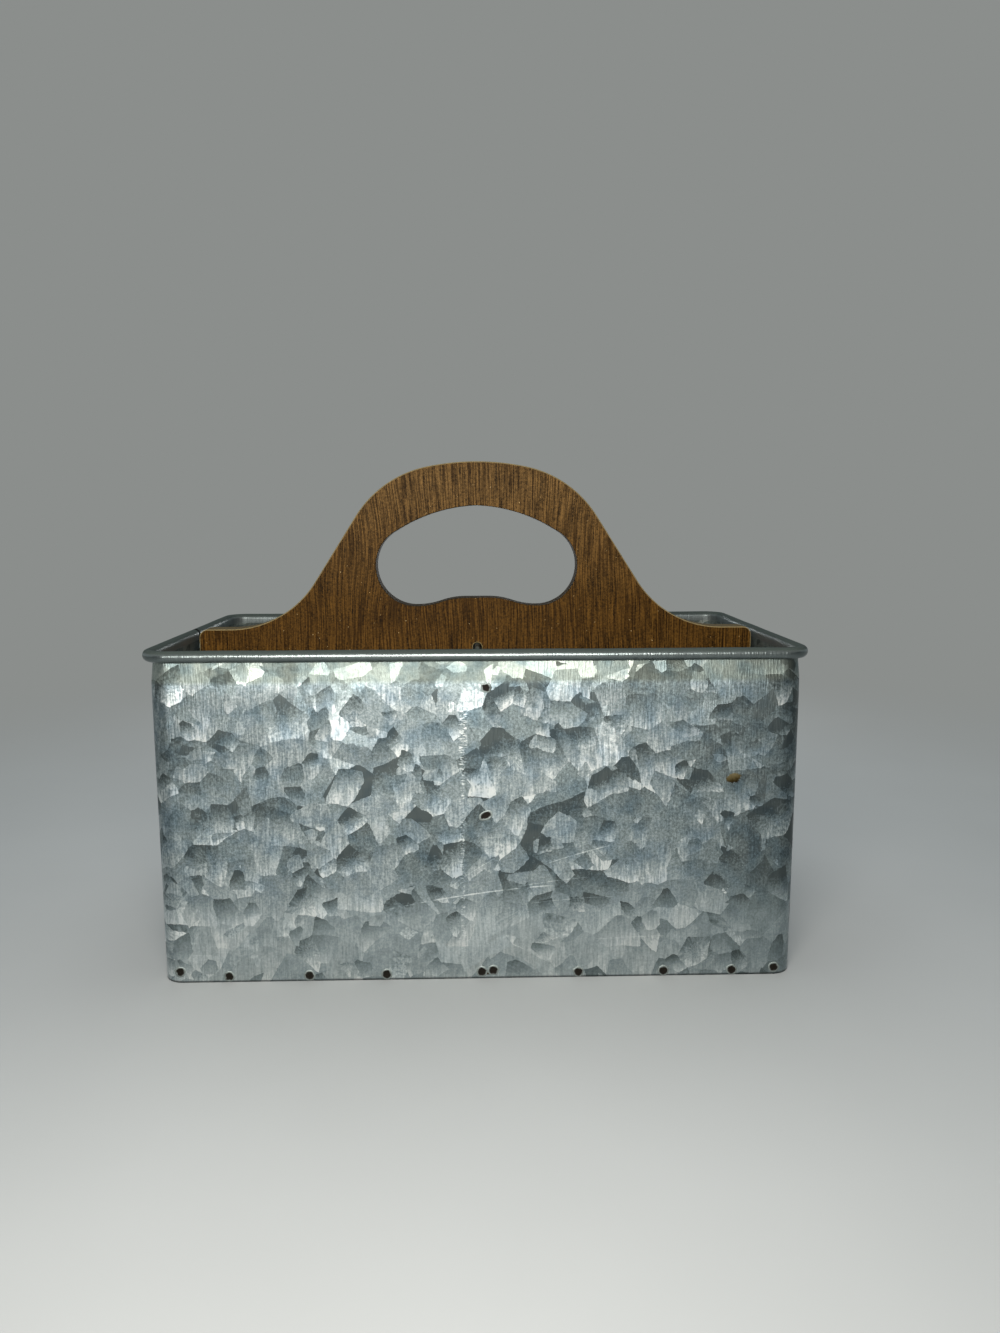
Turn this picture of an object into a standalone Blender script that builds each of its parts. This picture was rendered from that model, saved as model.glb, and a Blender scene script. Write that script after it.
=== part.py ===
# Galvanized steel tote with a wooden handle board.
# A strip of sheet steel is bent into a rounded rectangle, lapped on the left side and curled over
# a wire at the top. A pan closes the bottom, a hemmed sheet divides the tote across its middle,
# and a board with a hand hole stands along it, slotted over the divider and screwed from below.
# X runs along the tote, Y across it and Z up. The origin is the middle of the footprint.

import math

import bmesh
import bpy
from mathutils import Matrix, Vector

# Driving dimensions, in metres
tote_length = 0.280  # over the rolled rim
tote_depth = 0.160  # over the rolled rim
rim_height = 0.1445  # ground to the top of the rim
carry_height = 0.224  # ground to the crown of the handle board
sheet = 0.0006  # thickness of all the sheet steel
fit_gap = 0.0003  # clearance wherever two pieces touch
cut_overrun = 0.002  # how far a cutter runs past the face that it cuts

# Wall band
corner_radius = 0.009  # upright corners, at the wall's outer face
corner_steps = 8
neck_drop = 0.014  # top of the rim down to the crease under it
neck_lean = 0.0013  # how far the wall leans in between crease and rim
curl_end = math.radians(-120)  # where the curl stops, below the wire
curl_steps = 20
seam_place = 0.0015  # the lap seam's slit, behind the middle of the left side
seam_slit = 0.0006
seam_joggle = 0.0025  # length over which the inner end steps in
seam_lap = 0.010  # how far the inner end runs on behind the outer one
seam_notch = 0.0015  # the lapped tail's corners are cut back this far

# Rim wire
wire_radius = 0.0016
wire_sides = 10
wire_joint_place = 0.022  # where its ends meet, behind the middle of the left side
wire_joint_gap = 0.0008

# Base pan
pan_height = 0.0065  # ground to the floor of the compartments
pan_bend = 0.0012  # outer radius where the floor turns down into the flange
pan_bend_steps = 3

# Cross divider
divider_drop = 0.007  # top of the rim down to the top of the hem
hem_width = 0.0022  # outside, across the folded edge
hem_leg = 0.008  # height of the folded edge
hem_steps = 8
flange_width = 0.011  # how far the welded end flanges reach
flange_bend = 0.0006  # inner radius of their bend
flange_bend_steps = 4

# Handle board
board_thickness = 0.012
board_end_gap = 0.003  # each end to the wall
shoulder_rise = 0.0005  # top of the rim up to the board's shoulders
board_corner_radius = 0.004
crown_radius = 0.1167
crown_turn = math.radians(11.65)  # from the middle to where the tighter brow begins
brow_radius = 0.0529
flank_slope = math.radians(57.2)
foot_radius = 0.049
grip_height = 0.0204  # crown down to the hand hole
hole_length = 0.0963
hole_height = 0.0478
hole_peak = 0.003  # the upper edge's two arcs are centred this far past the middle
hole_end_radius = 0.0191
hole_lobe_radius = 0.0365  # each lobe of the lower edge
hole_rise = 0.0039  # the raised middle over the lobes
hole_rise_flat = 0.0056  # how far the raised middle is flat, either side
slot_width = 0.0043  # the slot that straddles the divider
slot_headroom = 0.0004  # over the divider's hem
board_edge = 0.0005  # eased arris
arc_step = math.radians(9)

# Spot welds, each a shallow round dimple in the wall band
weld_radius = 0.0018
weld_depth = 0.00025
weld_steps = 12
weld_height = 0.0027  # of the row that holds the pan's flange
front_weld_shares = (-0.946, -0.793, -0.54, -0.297, 0.006, 0.043, 0.313, 0.587, 0.807, 0.942)
rear_weld_shares = (-0.93, -0.7, -0.45, -0.2, 0.04, 0.3, 0.56, 0.78, 0.94)
end_weld_shares = (-0.82, -0.41, 0.39, 0.83)
flange_weld_shares = (0.53, 0.97)  # of the crease's height, where the divider's flange is held
seam_weld_shares = (0.14, 0.34, 0.55, 0.76, 0.94)  # of the crease's height, along the lap seam

# Base screws
screw_places_share = (-0.79, -0.23, 0.23, 0.79)  # shares of the board's half length
screw_shank_radius = 0.0015
screw_reach = 0.014  # into the board
screw_point = 0.003
screw_head_radius = 0.0032
screw_head_height = 0.0021
screw_head_edge = 0.0008
screw_steps = 16

# Worked out from the sizes above
rim_radius = wire_radius + fit_gap + sheet
wall_length = tote_length / 2 - 2 * rim_radius + sheet + neck_lean  # half, at the outer face
wall_depth = tote_depth / 2 - 2 * rim_radius + sheet + neck_lean
crease_height = rim_height - neck_drop
wire_height = rim_height - rim_radius
wire_outset = wire_radius + fit_gap - neck_lean  # from the wall's outer face
floor_height = pan_height + fit_gap  # what stands on the pan starts here
hem_top = rim_height - divider_drop
board_half = wall_length - sheet - board_end_gap


def clear_scene():
    for item in list(bpy.data.objects):
        bpy.data.objects.remove(item, do_unlink=True)


def make_material(name, colour, metallic, roughness):
    material = bpy.data.materials.new(name)
    material.use_nodes = True
    shader = material.node_tree.nodes["Principled BSDF"]
    shader.inputs["Base Color"].default_value = (*colour, 1)
    shader.inputs["Metallic"].default_value = metallic
    shader.inputs["Roughness"].default_value = roughness
    return material


def make_object(name, bm, material):
    bmesh.ops.recalc_face_normals(bm, faces=bm.faces)
    mesh = bpy.data.meshes.new(name)
    bm.to_mesh(mesh)
    bm.free()
    mesh.materials.append(material)
    mesh.shade_smooth()
    mesh.set_sharp_from_angle(angle=math.radians(35))
    item = bpy.data.objects.new(name, mesh)
    bpy.context.scene.collection.objects.link(item)
    return item


def make_cutter(name, bm):
    bmesh.ops.recalc_face_normals(bm, faces=bm.faces)
    mesh = bpy.data.meshes.new(name)
    bm.to_mesh(mesh)
    bm.free()
    cutter = bpy.data.objects.new(name, mesh)
    bpy.context.scene.collection.objects.link(cutter)
    cutter.hide_render = True
    cutter.display_type = "WIRE"
    return cutter


def cut(item, cutter):
    modifier = item.modifiers.new("Cut", "BOOLEAN")
    modifier.operation = "DIFFERENCE"
    modifier.solver = "EXACT"
    modifier.object = cutter


def arc(centre, radius, start, end, steps):
    # Points on an arc, both ends among them, as pairs of coordinates.
    angles = [start + (end - start) * step / steps for step in range(steps + 1)]
    return [(centre[0] + radius * math.cos(a), centre[1] + radius * math.sin(a)) for a in angles]


def steps_for(start, end):
    return max(2, math.ceil(abs(end - start) / arc_step))


def only_faces(geometry):
    return [item for item in geometry if isinstance(item, bmesh.types.BMFace)]


def corners_of(faces):
    return list(dict.fromkeys(vert for face in faces for vert in face.verts))


def with_edges(faces):
    # A section's faces with their edges and corners, so that an extrusion leaves no wall inside.
    edges = dict.fromkeys(edge for face in faces for edge in face.edges)
    return [*faces, *edges, *corners_of(faces)]


def push(bm, faces, along):
    # Carries a section straight on and gives back its new end.
    ends = only_faces(bmesh.ops.extrude_face_region(bm, geom=with_edges(faces))["geom"])
    bmesh.ops.translate(bm, vec=along, verts=corners_of(ends))
    return ends


def turn(bm, faces, centre, angle, steps):
    # Carries a section round an upright axis and gives back its new end.
    turned = bmesh.ops.spin(
        bm, geom=with_edges(faces), cent=(*centre, 0), axis=(0, 0, 1), angle=angle, steps=steps
    )
    return only_faces(turned["geom_last"])


def sweep_round(bm, faces, half_length, half_depth, radius, start, end):
    # Takes a section that stands on the left side at y = start clockwise round a rounded
    # rectangle, and back to y = end on the same side.
    x = half_length - radius
    y = half_depth - radius
    quarter = -math.pi / 2
    faces = push(bm, faces, (0, y - start, 0))
    faces = turn(bm, faces, (-x, y), quarter, corner_steps)
    faces = push(bm, faces, (x + x, 0, 0))
    faces = turn(bm, faces, (x, y), quarter, corner_steps)
    faces = push(bm, faces, (0, -y - y, 0))
    faces = turn(bm, faces, (x, -y), quarter, corner_steps)
    faces = push(bm, faces, (-x - x, 0, 0))
    faces = turn(bm, faces, (-x, -y), quarter, corner_steps)
    return push(bm, faces, (0, end + y, 0))


def band_section(bm, y):
    # The wall's section on the left side: a strip beside the pan, the wall up to the crease,
    # and the leaning neck with the curl round the wire.
    def place(outset, z):
        return bm.verts.new((-wall_length - outset, y, z))

    outer = [place(0, z) for z in (0, floor_height, crease_height)]
    inner = [place(-sheet, z) for z in (0, floor_height, crease_height)]
    centre = (wire_outset, wire_height)
    inside = arc(centre, rim_radius - sheet, math.pi, curl_end, curl_steps)
    outside = arc(centre, rim_radius, curl_end, math.pi, curl_steps)
    curl = [place(*point) for point in inside + outside]
    foot = bm.faces.new((outer[0], outer[1], inner[1], inner[0]))
    wall = bm.faces.new((outer[1], outer[2], inner[2], inner[1]))
    rim = bm.faces.new((outer[2], *curl, inner[2]))
    return [foot, wall, rim]


def make_wall_band(material):
    bm = bmesh.new()
    outer_end = seam_place + seam_slit / 2
    inner_end = seam_place - seam_slit / 2
    faces = band_section(bm, outer_end)
    faces = sweep_round(
        bm, faces, wall_length, wall_depth, corner_radius, outer_end, inner_end - seam_joggle
    )
    foot, wall, rim = sorted(faces, key=lambda face: face.calc_center_median().z)
    push(bm, [foot], (0, seam_joggle, 0))
    push(bm, [rim], (0, seam_joggle, 0))
    # The wall's own end steps inward and runs on behind the other end.
    tail = push(bm, [wall], (sheet + fit_gap, seam_joggle, 0))
    middle = tail[0].calc_center_median().z
    for vert in tail[0].verts:
        vert.co.z += math.copysign(seam_notch, middle - vert.co.z)
    push(bm, tail, (0, seam_slit + seam_lap, 0))
    band = make_object("wall_band", bm, material)
    cut(band, weld_cutter())
    return band


def weld_places():
    # Middle of each spot weld on the wall's outer face, with the way that face looks.
    flange_middle = flange_width / 2
    seam_middle = seam_place + (seam_slit + seam_lap) / 2
    places = []
    for side, row in ((-1, front_weld_shares), (1, rear_weld_shares)):
        facing = (0, side, 0)
        places += [((share * wall_length, side * wall_depth, weld_height), facing) for share in row]
        for share in flange_weld_shares:
            places.append(((flange_middle, side * wall_depth, share * crease_height), facing))
    for side in (-1, 1):
        facing = (side, 0, 0)
        row = [share * wall_depth for share in end_weld_shares]
        places += [((side * wall_length, y, weld_height), facing) for y in row]
    for share in seam_weld_shares:
        places.append(((-wall_length, seam_middle, share * crease_height), (-1, 0, 0)))
    return places


def weld_cutter():
    bm = bmesh.new()
    length = weld_depth + cut_overrun
    for place, facing in weld_places():
        outward = Vector(facing)
        middle = Vector(place) + outward * (length / 2 - weld_depth)
        turned = outward.to_track_quat("Z", "Y").to_matrix().to_4x4()
        bmesh.ops.create_cone(
            bm,
            cap_ends=True,
            segments=weld_steps,
            radius1=weld_radius,
            radius2=weld_radius,
            depth=length,
            matrix=Matrix.Translation(middle) @ turned,
        )
    return make_cutter("weld_cutter", bm)


def make_rim_wire(material):
    bm = bmesh.new()
    start = wire_joint_place + wire_joint_gap / 2
    end = wire_joint_place - wire_joint_gap / 2
    bmesh.ops.create_circle(bm, cap_ends=True, segments=wire_sides, radius=wire_radius)
    upright = Matrix.Rotation(math.pi / 2, 4, "X")
    bmesh.ops.transform(bm, matrix=upright, verts=bm.verts)
    where = (-wall_length - wire_outset, start, wire_height)
    bmesh.ops.translate(bm, vec=where, verts=bm.verts)
    sweep_round(
        bm,
        list(bm.faces),
        wall_length + wire_outset,
        wall_depth + wire_outset,
        corner_radius + wire_outset,
        start,
        end,
    )
    return make_object("rim_wire", bm, material)


def rounded_rectangle(half_length, half_depth, radius):
    x = half_length - radius
    y = half_depth - radius
    points = []
    for quarter, centre in enumerate([(x, y), (-x, y), (-x, -y), (x, -y)]):
        start = quarter * math.pi / 2
        points += arc(centre, radius, start, start + math.pi / 2, corner_steps)
    return points


def base_screw_places():
    return [share * board_half for share in screw_places_share]


def make_base_pan(material):
    inset = sheet + fit_gap
    outline = rounded_rectangle(
        wall_length - inset, wall_depth - inset, corner_radius - inset
    )
    bm = bmesh.new()
    bottom = bm.faces.new([bm.verts.new((x, y, fit_gap)) for x, y in outline])
    top = push(bm, [bottom], (0, 0, pan_height - fit_gap))[0]
    bmesh.ops.bevel(
        bm,
        geom=list(top.edges),
        offset=pan_bend,
        segments=pan_bend_steps,
        profile=0.5,
        affect="EDGES",
        material=-1,
    )
    lowest = min(bm.faces, key=lambda face: face.calc_center_median().z)
    bmesh.ops.delete(bm, geom=[lowest], context="FACES_ONLY")
    pan = make_object("base_pan", bm, material)
    shell = pan.modifiers.new("Sheet", "SOLIDIFY")
    shell.thickness = sheet
    shell.offset = -1
    shell.use_even_offset = True
    radius = screw_shank_radius + fit_gap
    low = pan_height - sheet - cut_overrun
    cut(pan, screw_hole_cutter("pan_hole_cutter", radius, low, pan_height + cut_overrun))
    return pan


def screw_hole_cutter(name, radius, low, high):
    bm = bmesh.new()
    for x in base_screw_places():
        middle = Matrix.Translation((x, 0, (low + high) / 2))
        bmesh.ops.create_cone(
            bm,
            cap_ends=True,
            segments=screw_steps,
            radius1=radius,
            radius2=radius,
            depth=high - low,
            matrix=middle,
        )
    return make_cutter(name, bm)


def make_cross_divider(material):
    # Modelled as its rear half, from the middle to the rear wall, and mirrored.
    web = -hem_width / 2
    bend_start = wall_depth - sheet - fit_gap - sheet - flange_bend
    turn_height = hem_top - hem_width / 2
    leg_foot = hem_top - hem_leg
    bm = bmesh.new()

    def place(x, z):
        return bm.verts.new((x, 0, z))

    outer = [place(web, z) for z in (floor_height, crease_height)]
    inner = [place(web + sheet, z) for z in (floor_height, crease_height)]
    over = arc((0, turn_height), hem_width / 2, math.pi, 0, hem_steps)
    under = arc((0, turn_height), hem_width / 2 - sheet, 0, math.pi, hem_steps)
    leg = [(-web, leg_foot), (-web - sheet, leg_foot)]
    fold = [place(*point) for point in over + leg + under]
    flange = bm.faces.new((outer[0], outer[1], inner[1], inner[0]))
    hem = bm.faces.new((outer[1], *fold, inner[1]))
    middle = [flange, hem]
    faces = push(bm, middle, (0, bend_start, 0))
    lower = min(faces, key=lambda face: face.calc_center_median().z)
    centre = (web + sheet + flange_bend, bend_start)
    end = turn(bm, [lower], centre, -math.pi / 2, flange_bend_steps)
    push(bm, end, (flange_width - centre[0], 0, 0))
    bmesh.ops.delete(bm, geom=middle, context="FACES")
    divider = make_object("cross_divider", bm, material)
    mirror = divider.modifiers.new("Front half", "MIRROR")
    mirror.use_axis = (False, True, False)
    mirror.merge_threshold = 0.0001
    return divider


def board_outline():
    # Right half of the handle board, from the crown down the outside to the slot, then up the
    # hand hole's edge. Every arc runs on smoothly from the one before.
    up = math.pi / 2
    shoulder = rim_height + shoulder_rise
    crown = (0, carry_height - crown_radius)
    brow_reach = crown_radius - brow_radius
    brow = (
        crown[0] + brow_reach * math.sin(crown_turn),
        crown[1] + brow_reach * math.cos(crown_turn),
    )
    points = arc(crown, crown_radius, up, up - crown_turn, 2)
    brow_steps = steps_for(crown_turn, flank_slope)
    points += arc(brow, brow_radius, up - crown_turn, up - flank_slope, brow_steps)[1:]
    # The straight flank runs down to where the foot's hollow arc begins.
    flank_drop = points[-1][1] - shoulder - foot_radius * (1 - math.cos(flank_slope))
    flank_foot = points[-1][0] + flank_drop / math.tan(flank_slope)
    foot = (flank_foot + foot_radius * math.sin(flank_slope), shoulder + foot_radius)
    points += arc(foot, foot_radius, -up - flank_slope, -up, steps_for(0, flank_slope))
    corner = (board_half - board_corner_radius, shoulder - board_corner_radius)
    points += arc(corner, board_corner_radius, up, 0, 5)
    points += [(board_half, floor_height), (slot_width / 2, floor_height)]
    arch = (0, hem_top + slot_headroom - slot_width / 2)
    points += arc(arch, slot_width / 2, 0, up, 4)
    return points + hand_hole_outline()


def hand_hole_outline():
    # Right half of the hand hole, from the raised middle of its lower edge round to its top.
    up = math.pi / 2
    top = carry_height - grip_height
    bottom = top - hole_height
    end = (hole_length / 2 - hole_end_radius, bottom + hole_end_radius)
    plateau = bottom + hole_rise
    # Radii of the arcs that meet their neighbours smoothly, over the hole and beside the rise.
    above = top - end[1]
    apart = end[0] + hole_peak
    reach = apart**2 + above**2 - hole_end_radius**2 - hole_peak**2
    over_radius = reach / (2 * (above - hole_end_radius))
    over = (-hole_peak, top - over_radius)
    lobe = (end[0], bottom + hole_lobe_radius)
    aside = lobe[0] - hole_rise_flat
    below = lobe[1] - plateau
    bend_radius = (hole_lobe_radius**2 - aside**2 - below**2) / (2 * (below - hole_lobe_radius))
    bend = (hole_rise_flat, plateau - bend_radius)
    lean = math.atan2(lobe[1] - bend[1], aside)
    meet = math.atan2(end[1] - over[1], end[0] - over[0])
    crest = math.acos(hole_peak / over_radius)
    points = [(0, plateau)]
    points += arc(bend, bend_radius, up, lean, steps_for(up, lean))
    points += arc(lobe, hole_lobe_radius, lean - math.pi, -up, steps_for(lean - math.pi, -up))[1:]
    points += arc(end, hole_end_radius, -up, meet, steps_for(-up, meet))[1:]
    points += arc(over, over_radius, meet, crest, steps_for(meet, crest))[1:]
    return points


def make_handle_board(material):
    bm = bmesh.new()
    front = -board_thickness / 2
    corners = [bm.verts.new((x, front, z)) for x, z in board_outline()]
    face = bm.faces.new(corners)
    push(bm, [face], (0, board_thickness, 0))
    # The faces on the middle plane are opened for the mirror.
    middle = [face for face in bm.faces if all(abs(v.co.x) < board_edge / 2 for v in face.verts)]
    bmesh.ops.delete(bm, geom=middle, context="FACES_ONLY")
    board = make_object("handle_board", bm, material)
    mirror = board.modifiers.new("Left half", "MIRROR")
    mirror.merge_threshold = 0.0001
    eased = board.modifiers.new("Eased edges", "BEVEL")
    eased.width = board_edge
    eased.segments = 1
    eased.limit_method = "ANGLE"
    eased.angle_limit = math.radians(50)
    depth = floor_height + screw_reach + fit_gap
    radius = screw_shank_radius + fit_gap
    cut(board, screw_hole_cutter("pilot_hole_cutter", radius, floor_height - cut_overrun, depth))
    return board


def make_base_screw(name, x, material):
    # Turned profile, from the middle of the head's underside round to the point.
    seat = pan_height - sheet - fit_gap
    low = seat - screw_head_height
    tip = floor_height + screw_reach
    edge = (screw_head_radius - screw_head_edge, low + screw_head_edge)
    head = [(0, low)] + arc(edge, screw_head_edge, -math.pi / 2, 0, 3)
    shank = [
        (screw_head_radius, seat),
        (screw_shank_radius, seat),
        (screw_shank_radius, tip - screw_point),
        (0, tip),
    ]
    bm = bmesh.new()
    profile = [bm.verts.new((r, 0, z)) for r, z in head + shank]
    for start, end in zip(profile, profile[1:]):
        bm.edges.new((start, end))
    bmesh.ops.spin(
        bm,
        geom=bm.verts[:] + bm.edges[:],
        cent=(0, 0, 0),
        axis=(0, 0, 1),
        angle=math.tau,
        steps=screw_steps,
        use_merge=True,
    )
    bmesh.ops.remove_doubles(bm, verts=bm.verts, dist=screw_shank_radius / screw_steps / 2)
    screw = make_object(name, bm, material)
    screw.location.x = x
    return screw


def build_tote():
    clear_scene()
    galvanized = make_material("Galvanized sheet", (0.52, 0.56, 0.58), 1.0, 0.38)
    pan_steel = make_material("Galvanized base sheet", (0.48, 0.51, 0.53), 1.0, 0.42)
    divider_steel = make_material("Galvanized divider sheet", (0.50, 0.54, 0.56), 1.0, 0.40)
    wire_steel = make_material("Galvanized wire", (0.42, 0.44, 0.45), 1.0, 0.35)
    wood = make_material("Walnut-faced board", (0.085, 0.045, 0.018), 0.0, 0.55)
    zinc = make_material("Zinc-plated screw", (0.60, 0.60, 0.56), 1.0, 0.30)
    make_wall_band(galvanized)
    make_rim_wire(wire_steel)
    make_base_pan(pan_steel)
    make_cross_divider(divider_steel)
    make_handle_board(wood)
    for number, x in enumerate(base_screw_places(), 1):
        make_base_screw(f"base_screw_{number}", x, zinc)


build_tote()
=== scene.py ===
# Looks of the galvanized tote: a sheet-metal wall with zinc spangle, spot welds and a wired rim,
# a recessed floor, a hemmed divider, and a wood-look handle board screwed on from below.
# In metres, with X along the tote, Y across it, the front at -Y, and Z up.

import math
from functools import partial

import bmesh
import bpy
from mathutils import Matrix, Vector, noise


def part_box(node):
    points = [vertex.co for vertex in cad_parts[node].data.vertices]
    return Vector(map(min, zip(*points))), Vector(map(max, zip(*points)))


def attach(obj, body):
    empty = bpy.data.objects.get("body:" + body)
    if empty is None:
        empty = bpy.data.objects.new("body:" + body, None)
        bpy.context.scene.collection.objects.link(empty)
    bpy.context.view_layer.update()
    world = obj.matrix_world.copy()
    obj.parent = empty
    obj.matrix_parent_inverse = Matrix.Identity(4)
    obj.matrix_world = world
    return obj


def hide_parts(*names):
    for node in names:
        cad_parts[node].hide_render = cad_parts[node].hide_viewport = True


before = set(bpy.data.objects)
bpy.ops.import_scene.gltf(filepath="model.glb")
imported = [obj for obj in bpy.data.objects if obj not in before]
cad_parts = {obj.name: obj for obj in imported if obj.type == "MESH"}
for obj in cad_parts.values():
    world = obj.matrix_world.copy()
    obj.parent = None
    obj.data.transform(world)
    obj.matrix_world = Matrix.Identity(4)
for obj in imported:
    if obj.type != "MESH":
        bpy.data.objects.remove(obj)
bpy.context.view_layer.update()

mm = 0.001
up = math.pi / 2
sheetThickness = 0.6 * mm
fitGap = 0.3 * mm
neckLean = 1.3 * mm  # the wall leans in this far between the crease and the rim
seamPlace = 1.5 * mm  # the lap seam, behind the middle of the left side

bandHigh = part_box("wall_band")[1]
wireLow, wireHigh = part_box("rim_wire")
panLow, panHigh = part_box("base_pan")
dividerLow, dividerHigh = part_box("cross_divider")
boardLow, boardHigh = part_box("handle_board")
wireRadius = (wireHigh.z - wireLow.z) / 2
rimRadius = wireRadius + fitGap + sheetThickness
rimHeight = bandHigh.z
wallLength = bandHigh.x - 2 * rimRadius + sheetThickness + neckLean  # half, at the outer face
wallDepth = bandHigh.y - 2 * rimRadius + sheetThickness + neckLean
wireHeight = rimHeight - rimRadius
wireOutset = wireRadius + fitGap - neckLean
floorHeight = dividerLow.z
creaseHeight = rimHeight - 14 * mm
print("frame loaded, rim at", round(rimHeight / mm, 1), "mm")


# Helpers

def fillSockets(node, inputs):
    # Gives sockets values or links. A node stands for its first output that is in use, and a
    # range is given by both its ends.
    for name, value in inputs.items():
        if isinstance(value, bpy.types.Node):
            value = next(output for output in value.outputs if output.enabled)
        if name in ("From", "To"):
            for end, limit in zip((" Min", " Max"), value):
                node.inputs[name + end].default_value = limit
        elif isinstance(value, bpy.types.NodeSocket):
            node.id_data.links.new(value, node.inputs[name])
        else:
            node.inputs[name].default_value = colour(value) if isinstance(value, str) else value


def addNode(tree, kind, inputs=None, stops=(), **settings):
    # Adds a shader node with its settings, values and links. The operation of a maths node, or
    # the data type of a mix, may stand after the kind.
    kind, _, mode = kind.partition(" ")
    if mode:
        settings["data_type" if kind == "Mix" else "operation"] = mode
    node = tree.nodes.new("ShaderNode" + kind)
    for name, value in settings.items():
        setattr(node, name, value)
    fillSockets(node, inputs or {})
    for index, (position, hexValue) in enumerate(stops):
        elements = node.color_ramp.elements
        stop = elements[index] if index < 2 else elements.new(position)
        stop.position = position
        stop.color = colour(hexValue)
    return node


def colour(hexValue):
    # An sRGB hex value as linear red, green, blue and alpha.
    channels = [int(hexValue[start:start + 2], 16) / 255 for start in (1, 3, 5)]
    return (*[c / 12.92 if c <= 0.04045 else ((c + 0.055) / 1.055) ** 2.4 for c in channels], 1)


def arcPoints(centre, radius, start, end, steps):
    angles = [start + (end - start) * step / steps for step in range(steps + 1)]
    return [(centre[0] + radius * math.cos(a), centre[1] + radius * math.sin(a)) for a in angles]


def smooth(value, low, high):
    share = min(max((value - low) / (high - low), 0), 1)
    return share * share * (3 - 2 * share)


def withEdges(faces):
    edges = dict.fromkeys(edge for face in faces for edge in face.edges)
    verts = dict.fromkeys(vert for face in faces for vert in face.verts)
    return [*faces, *edges, *verts]


def pushFaces(bm, faces, along, steps=1):
    # Carries a section straight on in equal steps and gives back its new end.
    for _ in range(steps):
        result = bmesh.ops.extrude_face_region(bm, geom=withEdges(faces))["geom"]
        faces = [item for item in result if isinstance(item, bmesh.types.BMFace)]
        verts = list(dict.fromkeys(vert for face in faces for vert in face.verts))
        bmesh.ops.translate(bm, vec=Vector(along) / steps, verts=verts)
    return faces


def turnFaces(bm, faces, centre, angle, steps):
    # Carries a section round an upright axis and gives back its new end.
    result = bmesh.ops.spin(
        bm, geom=withEdges(faces), cent=(*centre, 0), axis=(0, 0, 1), angle=angle, steps=steps
    )
    return [item for item in result["geom_last"] if isinstance(item, bmesh.types.BMFace)]


def markInside(bm):
    # Writes how far each point of a sheet faces the middle of the tote, for its material.
    bmesh.ops.recalc_face_normals(bm, faces=bm.faces)
    bm.normal_update()
    layer = bm.verts.layers.float.new("inside")
    for vert in bm.verts:
        outward = Vector((vert.co.x, vert.co.y, 0)).normalized()
        vert[layer] = smooth(-vert.normal.dot(outward), 0, 0.1)


def sweepRound(bm, faces, half, radius, start, end, look):
    # Takes a section on the left side at y = start clockwise round a rounded rectangle.
    x = half[0] - radius
    y = half[1] - radius
    longRun = look["longSteps"]
    shortRun = look["shortSteps"]
    sides = (
        ((0, y - start, 0), shortRun, (-x, y)),
        ((2 * x, 0, 0), longRun, (x, y)),
        ((0, -2 * y, 0), shortRun * 2, (x, -y)),
        ((-2 * x, 0, 0), longRun, (-x, -y)),
    )
    for run, steps, centre in sides:
        faces = pushFaces(bm, faces, run, steps)
        faces = turnFaces(bm, faces, centre, -up, look["cornerSteps"])
    return pushFaces(bm, faces, (0, end + y, 0), shortRun)


def lathe(bm, profile, steps):
    # Turns a profile of radii and heights round the upright axis and gives back the new points.
    before = set(bm.verts)
    verts = [bm.verts.new((radius, 0, z)) for radius, z in profile]
    edges = [bm.edges.new(pair) for pair in zip(verts, verts[1:])]
    bmesh.ops.spin(
        bm, geom=verts + edges, cent=(0, 0, 0), axis=(0, 0, 1), angle=math.tau, steps=steps,
        use_merge=True,
    )
    made = [vert for vert in bm.verts if vert not in before]
    bmesh.ops.remove_doubles(bm, verts=made, dist=0.005 * mm)
    return [vert for vert in bm.verts if vert not in before]


def newObject(name, data):
    item = bpy.data.objects.new(name, data)
    bpy.context.scene.collection.objects.link(item)
    return item


def finishPiece(name, bm, materials, replaced=(), sharp=35):
    bmesh.ops.recalc_face_normals(bm, faces=bm.faces)
    mesh = bpy.data.meshes.new(name)
    bm.to_mesh(mesh)
    bm.free()
    for material in materials:
        mesh.materials.append(material)
    mesh.shade_smooth()
    mesh.set_sharp_from_angle(angle=math.radians(sharp))
    item = newObject(name, mesh)
    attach(item, "root")
    if replaced:
        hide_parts(*replaced)
    print(name, "made,", len(mesh.polygons), "faces")
    return item


# Materials

def newMaterial(name):
    # The material, a function that adds nodes to it, its shader, and the object coordinates.
    material = bpy.data.materials.new(name)
    material.use_nodes = True
    add = partial(addNode, material.node_tree)
    place = add("TexCoord").outputs["Object"]
    return material, add, material.node_tree.nodes["Principled BSDF"], place


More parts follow.
